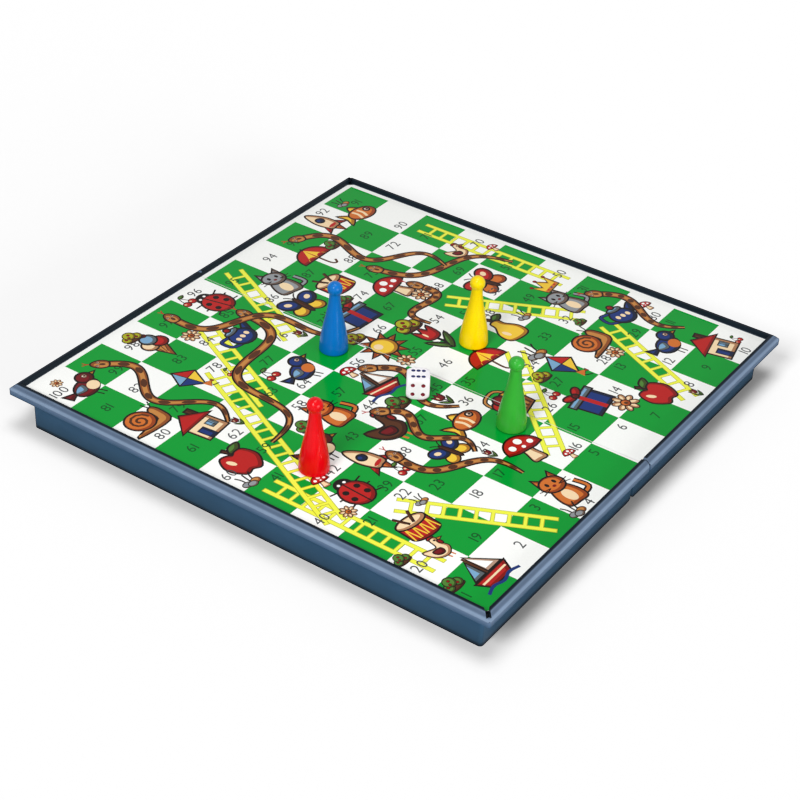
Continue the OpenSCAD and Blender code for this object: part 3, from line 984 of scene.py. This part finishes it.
def add_die_face(bm, turn, pips, half):
    """One face of the die, turned into place, with its pips sunk and marked for their paint."""
    places, triangles, painted, centres, radius = die_face(pips, half)
    turned = Euler([math.radians(angle) for angle in turn]).to_matrix()
    paint = 1 if len(pips) in RED_COUNTS else 2
    verts = []
    for p in places:
        point = die_surface(p.x, p.y, half)
        away = min([(p - c).length for c in centres]) / radius
        if away < 1:
            point.z -= PIP_DEPTH * (1 - away**2)
        verts.append(bm.verts.new(turned @ point))
    for triangle, in_pip in zip(triangles, painted):
        face = bm.faces.new([verts[i] for i in triangle])
        face.smooth = True
        face.material_index = paint if in_pip else 0


def die(body, pip_red, pip_blue):
    """A white die with sunk, painted pips: one and four are red, the others blue."""
    low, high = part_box("die")
    half = (high.z - low.z) / 2
    bm = bmesh.new()
    for turn, pips in DIE_FACES:
        add_die_face(bm, turn, pips, half)
    bmesh.ops.remove_doubles(bm, verts=bm.verts, dist=half * DIE_WELD)
    bmesh.ops.recalc_face_normals(bm, faces=bm.faces)
    bmesh.ops.rotate(bm, verts=bm.verts, cent=(0, 0, 0), matrix=Matrix.Rotation(DIE_TURN, 3, "Z"))
    bmesh.ops.translate(bm, verts=bm.verts, vec=(low + high) / 2)
    piece = add_object("white_die", bm, body)
    piece.data.materials.append(pip_red)
    piece.data.materials.append(pip_blue)
    piece.data.set_sharp_from_angle(angle=DIE_SHARP)
    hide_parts("die")
    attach(piece, "die_piece")


# Materials


class Look:
    """A principled material whose colour, roughness and relief vary over the surface."""

    def __init__(self, name):
        self.material = bpy.data.materials.new(name)
        self.material.use_nodes = True
        self.tree = self.material.node_tree
        self.shader = self.tree.nodes["Principled BSDF"]
        space = self.node("TexCoord")
        self.place = space.outputs["Object"]
        self.facing = space.outputs["Normal"]

    def fill(self, node, inputs):
        """Sets inputs of a node, named with _ for a space, to values or to outputs of other nodes."""
        for name, value in inputs.items():
            target = node.inputs[name.replace("_", " ")]
            if isinstance(value, bpy.types.NodeSocket):
                self.tree.links.new(value, target)
            else:
                target.default_value = value

    def node(self, kind, **inputs):
        made = self.tree.nodes.new("ShaderNode" + kind)
        self.fill(made, inputs)
        return made

    def shade(self, **inputs):
        self.fill(self.shader, inputs)
        return self.material

    def noise(self, size, detail=3.0, stretch=(1, 1, 1)):
        """Noise with features of about the given size in metres."""
        mapping = self.node("Mapping", Vector=self.place, Scale=stretch)
        made = self.node("TexNoise", Vector=mapping.outputs["Vector"], Scale=1 / size, Detail=detail)
        return made.outputs["Fac"]

    def between(self, source, low, high, start=0.3, end=0.7):
        """A value that runs from low to high as the source runs from start to end."""
        made = self.node("MapRange", Value=source, From_Min=start, From_Max=end, To_Min=low, To_Max=high)
        return made.outputs["Result"]

    def upward(self, source):
        """The upward part of a place or a direction."""
        return self.node("SeparateXYZ", Vector=source).outputs["Z"]

    def ramp(self, source, tones):
        """A colour that runs through tones as the source runs from nought to one."""
        made = self.node("ValToRGB", Fac=source)
        stops = made.color_ramp.elements
        stops.remove(stops[1])
        stops[0].position = tones[0][0]
        stops[0].color = linear(tones[0][1])
        for share, colour in tones[1:]:
            stops.new(share).color = linear(colour)
        return made.outputs["Color"]

    def by_slope(self, upright, sloping):
        """A colour by height, with its own tones on faces that look up; on the case these hold painted
        light.
        """
        height = self.between(self.upward(self.place), 0, 1, 0, CASE_H)
        # Mask of faces that look up, which take the painted highlights and painted shade of the sloping
        # tones
        looks_up = self.between(self.upward(self.facing), 0, 1, *LOOKS_UP)
        tones = {"Color1": self.ramp(height, upright), "Color2": self.ramp(height, sloping)}
        return self.node("MixRGB", Fac=looks_up, **tones).outputs["Color"]

    def tinted(self, colour, value):
        """A colour, or another node's colour, with its brightness scaled by a value."""
        return self.node("HueSaturation", Color=colour, Value=value).outputs["Color"]

    def bump(self, source, depth, **normal):
        return self.node("Bump", Height=source, Strength=1.0, Distance=depth, **normal).outputs["Normal"]


def moulded_plastic(name, upright, sloping, grain, roughness):
    """Satin moulded plastic: cloudy colour, tones by height and slope with painted light, painted shade in
    its corners, and soft edges.
    """
    look = Look(name)
    # Painted shade: ambient occlusion darkens corners, crevices and the foot, where shade falls
    corner = look.node("AmbientOcclusion", Distance=PAINTED_SHADE_REACH)
    corner.samples = 8
    soft = look.node("Bevel", Radius=SOFT_EDGE)
    soft.samples = 6
    cloud = look.between(look.noise(14 * MM, 4), 0.93, 1.07)
    painted_shade = look.between(corner.outputs["AO"], 0.3, 1.0, 0.4, 0.9)
    return look.shade(
        Base_Color=look.tinted(look.tinted(look.by_slope(upright, sloping), cloud), painted_shade),
        Roughness=look.between(look.noise(3 * MM), roughness - 0.05, roughness + 0.06),
        Specular_IOR_Level=CASE_GLOSS,
        Normal=look.bump(look.noise(grain, 2), GRAIN_DEPTH, Normal=soft.outputs["Normal"]),
    )


def gloss_plastic(name, colour):
    """Glossy moulded plastic with faint flow marks along its height and fine scuffs."""
    look = Look(name)
    flow = look.between(look.noise(5 * MM, 3, (1, 1, 0.25)), 0.95, 1.05)
    return look.shade(
        Base_Color=look.tinted(linear(colour), flow),
        Roughness=look.between(look.noise(1.5 * MM, 5), 0.14, 0.24),
        Specular_IOR_Level=PLASTIC_GLOSS,
        Normal=look.bump(look.noise(2.5 * MM, 2), 0.012 * MM),
    )


def laminated_print(name):
    """Ink under a clear glossy film that follows the faint waves of the steel below."""
    look = Look(name)
    ink = look.node("VertexColor")
    ink.layer_name = "ink"
    mottle = look.between(look.noise(0.9 * MM), 0.985, 1.015)
    return look.shade(
        Base_Color=look.tinted(ink.outputs["Color"], mottle),
        Roughness=look.between(look.noise(9 * MM), 0.1, 0.17),
        Specular_IOR_Level=FILM_GLOSS,
        Normal=look.bump(look.noise(16 * MM, 2), 0.02 * MM),
    )


def metal(name, colour, roughness, stretch, size=2 * MM):
    """Bare metal with drawn marks."""
    look = Look(name)
    marks = look.noise(size, 5, stretch)
    return look.shade(
        Base_Color=look.tinted(linear(colour), look.between(marks, 0.85, 1.1)),
        Roughness=look.between(marks, roughness - 0.08, roughness + 0.1),
        Metallic=1.0,
        Normal=look.bump(marks, 0.01 * MM),
    )


def dress(names, material):
    for name in names:
        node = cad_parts[name]
        node.data.materials.clear()
        node.data.materials.append(material)


# Stage


def make_floor():
    """Pale floor under the rims, which takes the object's shadow."""
    bm = bmesh.new()
    bmesh.ops.create_grid(bm, x_segments=FLOOR_PARTS, y_segments=FLOOR_PARTS, size=FLOOR_HALF)
    look = Look("pale_floor")
    cloud = look.between(look.noise(0.2), 0.98, 1.0)
    material = look.shade(Base_Color=look.tinted(FLOOR_TONE, cloud), Roughness=0.9, Specular_IOR_Level=0.0)
    floor = add_object("floor", bm, material)
    floor.location.z = cad_low.z
    floor.is_shadow_catcher = True


def make_world():
    """Even soft light, with a white backdrop for what the camera, gloss and glass see."""
    world = bpy.data.worlds.new("studio")
    bpy.context.scene.world = world
    world.use_nodes = True
    nodes, links = world.node_tree.nodes, world.node_tree.links
    ambient = nodes["Background"]
    ambient.inputs["Color"].default_value = WHITE
    ambient.inputs["Strength"].default_value = AMBIENT
    backdrop = nodes.new("ShaderNodeBackground")
    backdrop.inputs["Color"].default_value = WHITE
    rays = nodes.new("ShaderNodeLightPath")
    mix = nodes.new("ShaderNodeMixShader")
    seen = rays.outputs["Is Camera Ray"]
    for kind in ("Is Glossy Ray", "Is Transmission Ray"):
        either = nodes.new("ShaderNodeMath")
        either.operation = "MAXIMUM"
        links.new(seen, either.inputs[0])
        links.new(rays.outputs[kind], either.inputs[1])
        seen = either.outputs[0]
    links.new(seen, mix.inputs["Fac"])
    links.new(ambient.outputs[0], mix.inputs[1])
    links.new(backdrop.outputs[0], mix.inputs[2])
    links.new(mix.outputs[0], nodes["World Output"].inputs["Surface"])


def make_lamp(name, place, size, power):
    """A soft lamp that looks at the board, with its first side level."""
    lamp = bpy.data.lights.new(name, "AREA")
    lamp.shape = "RECTANGLE"
    lamp.size, lamp.size_y = size
    lamp.energy = power
    holder = put_in_scene(name, lamp)
    holder.location = place
    holder.rotation_euler = (-place).to_track_quat("-Z", "Y").to_euler()


def make_camera():
    camera = bpy.data.cameras.new("camera")
    camera.lens = CAMERA_LENS
    holder = put_in_scene("camera", camera)
    up = CAMERA_RIGHT.cross(CAMERA_FORWARD)
    axes = Matrix((CAMERA_RIGHT, up, -CAMERA_FORWARD)).transposed()
    holder.matrix_world = Matrix.Translation(CAMERA_PLACE) @ axes.to_4x4()
    bpy.context.scene.camera = holder


make_camera()
make_world()
make_floor()
for name, lamp in LAMPS.items():
    make_lamp(name, *lamp)
bpy.context.scene.view_settings.view_transform = "Standard"

shapes = artwork()
film = laminated_print("laminated_print")
for side in ("left", "right"):
    print_sheet(side, shapes, film)

for colour, screen in PAWN_COLOURS.items():
    pawn(colour, gloss_plastic(f"{colour}_plastic", screen))
    dress([f"{colour}_pawn_magnet"], metal(f"{colour}_magnet", (96, 96, 98), 0.4, (1, 1, 1)))
die(
    gloss_plastic("die_white", (246, 243, 248)),
    gloss_plastic("pip_red", (122, 24, 44)),
    gloss_plastic("pip_blue", (30, 36, 92)),
)
case = moulded_plastic("case_plastic", CASE_UPRIGHT_WITH_PAINTED_LIGHT, CASE_SLOPING_PAINTED_LIGHT, 0.35 * MM, 0.34)
dress(["left_tray", "right_tray"], case)
links = moulded_plastic("link_plastic", LINK_UPRIGHT, LINK_SLOPING, 0.3 * MM, 0.42)
dress(["front_hinge_link", "rear_hinge_link"], links)
dress(["left_steel_sheet", "right_steel_sheet"], metal("steel", (176, 178, 182), 0.35, (1, 12, 1)))
pins = [f"{end}_{side}_pin" for end in ("front", "rear") for side in ("left", "right")]
dress(pins, metal("pin_steel", (186, 188, 192), 0.3, (1, 8, 1), 0.6 * MM))
